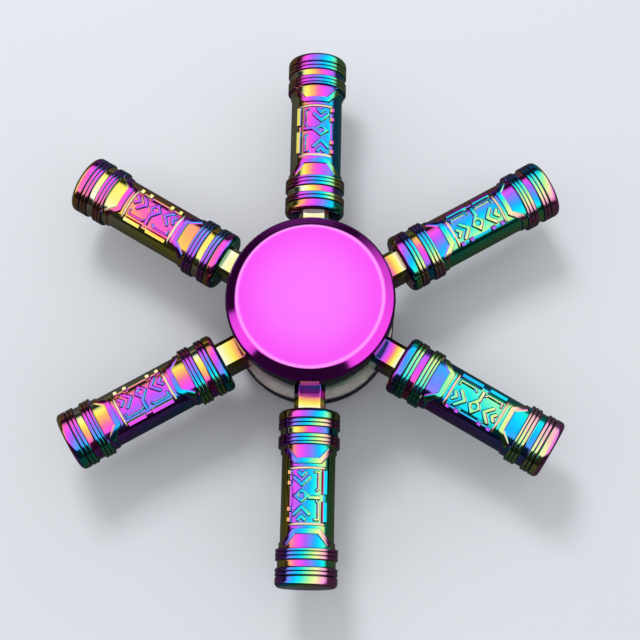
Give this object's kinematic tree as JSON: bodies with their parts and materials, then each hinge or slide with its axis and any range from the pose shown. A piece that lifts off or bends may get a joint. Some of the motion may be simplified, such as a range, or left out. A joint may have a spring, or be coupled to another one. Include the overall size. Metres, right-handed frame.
{
  "type": "fidget spinner",
  "caption": "Metal fidget spinner: ribbed barrel arms on a hub ring turn on a small ball bearing between two round finger caps.",
  "frame": {"origin": "centre of the bearing, midway between the finger caps", "axes": "+Z along the spin axis out of the upper cap, +Y along the first arm"},
  "size_m": [0.0678, 0.074, 0.018],
  "materials": {
    "oil_slick_zinc": "rainbow vacuum-coated zinc casting, mirror gloss",
    "magenta_aluminium": "magenta vacuum-coated turned aluminium, mirror gloss; inner face bare",
    "bearing_steel": "ground bearing steel",
    "ball_steel": "polished bearing balls",
    "cage_steel": "stamped steel",
    "shield_steel": "pressed sheet steel",
    "spring_wire": "hard-drawn spring wire"
  },
  "bodies": {
    "held_caps": {"cap_upper": "magenta_aluminium", "cap_lower": "magenta_aluminium", "bearing_inner_ring": "bearing_steel"},
    "spinner": {"hub_spider": "oil_slick_zinc", "barrel_1": "oil_slick_zinc", "barrel_2": "oil_slick_zinc", "barrel_3": "oil_slick_zinc", "barrel_4": "oil_slick_zinc", "barrel_5": "oil_slick_zinc", "barrel_6": "oil_slick_zinc", "bearing_outer_ring": "bearing_steel", "shield_upper": "shield_steel", "shield_lower": "shield_steel", "snap_ring_upper": "spring_wire", "snap_ring_lower": "spring_wire"},
    "cage": {"ball_cage": "cage_steel"},
    "ball_1": {"ball_1": "ball_steel"},
    "ball_2": {"ball_2": "ball_steel"},
    "ball_3": {"ball_3": "ball_steel"},
    "ball_4": {"ball_4": "ball_steel"},
    "ball_5": {"ball_5": "ball_steel"},
    "ball_6": {"ball_6": "ball_steel"},
    "ball_7": {"ball_7": "ball_steel"},
    "ball_8": {"ball_8": "ball_steel"},
    "ball_9": {"ball_9": "ball_steel"},
    "ball_10": {"ball_10": "ball_steel"}
  },
  "joints": [
    {"name": "spin", "type": "hinge", "parent": "held_caps", "child": "spinner", "pos_m": [0, 0, 0], "axis": [0, 0, 1], "continuous": true},
    {"name": "cage_orbit", "type": "hinge", "parent": "held_caps", "child": "cage", "pos_m": [0, 0, 0], "axis": [0, 0, 1], "continuous": true},
    {"name": "ball_1_roll", "type": "hinge", "parent": "cage", "child": "ball_1", "pos_m": [0.00476, 0, 0], "axis": [0, 0, 1], "continuous": true},
    {"name": "ball_2_roll", "type": "hinge", "parent": "cage", "child": "ball_2", "pos_m": [0.00385, 0.0028, 0], "axis": [0, 0, 1], "continuous": true},
    {"name": "ball_3_roll", "type": "hinge", "parent": "cage", "child": "ball_3", "pos_m": [0.00147, 0.00453, 0], "axis": [0, 0, 1], "continuous": true},
    {"name": "ball_4_roll", "type": "hinge", "parent": "cage", "child": "ball_4", "pos_m": [-0.00147, 0.00453, 0], "axis": [0, 0, 1], "continuous": true},
    {"name": "ball_5_roll", "type": "hinge", "parent": "cage", "child": "ball_5", "pos_m": [-0.00385, 0.0028, 0], "axis": [0, 0, 1], "continuous": true},
    {"name": "ball_6_roll", "type": "hinge", "parent": "cage", "child": "ball_6", "pos_m": [-0.00476, 0, 0], "axis": [0, 0, 1], "continuous": true},
    {"name": "ball_7_roll", "type": "hinge", "parent": "cage", "child": "ball_7", "pos_m": [-0.00385, -0.0028, 0], "axis": [0, 0, 1], "continuous": true},
    {"name": "ball_8_roll", "type": "hinge", "parent": "cage", "child": "ball_8", "pos_m": [-0.00147, -0.00453, 0], "axis": [0, 0, 1], "continuous": true},
    {"name": "ball_9_roll", "type": "hinge", "parent": "cage", "child": "ball_9", "pos_m": [0.00147, -0.00453, 0], "axis": [0, 0, 1], "continuous": true},
    {"name": "ball_10_roll", "type": "hinge", "parent": "cage", "child": "ball_10", "pos_m": [0.00385, -0.0028, 0], "axis": [0, 0, 1], "continuous": true}
  ],
  "couplings": [
    {"joint": "cage_orbit", "follows": "spin", "ratio": 0.58333},
    {"joint": "ball_1_roll", "follows": "spin", "ratio": 2.9167},
    {"joint": "ball_2_roll", "follows": "spin", "ratio": 2.9167},
    {"joint": "ball_3_roll", "follows": "spin", "ratio": 2.9167},
    {"joint": "ball_4_roll", "follows": "spin", "ratio": 2.9167},
    {"joint": "ball_5_roll", "follows": "spin", "ratio": 2.9167},
    {"joint": "ball_6_roll", "follows": "spin", "ratio": 2.9167},
    {"joint": "ball_7_roll", "follows": "spin", "ratio": 2.9167},
    {"joint": "ball_8_roll", "follows": "spin", "ratio": 2.9167},
    {"joint": "ball_9_roll", "follows": "spin", "ratio": 2.9167},
    {"joint": "ball_10_roll", "follows": "spin", "ratio": 2.9167}
  ]
}
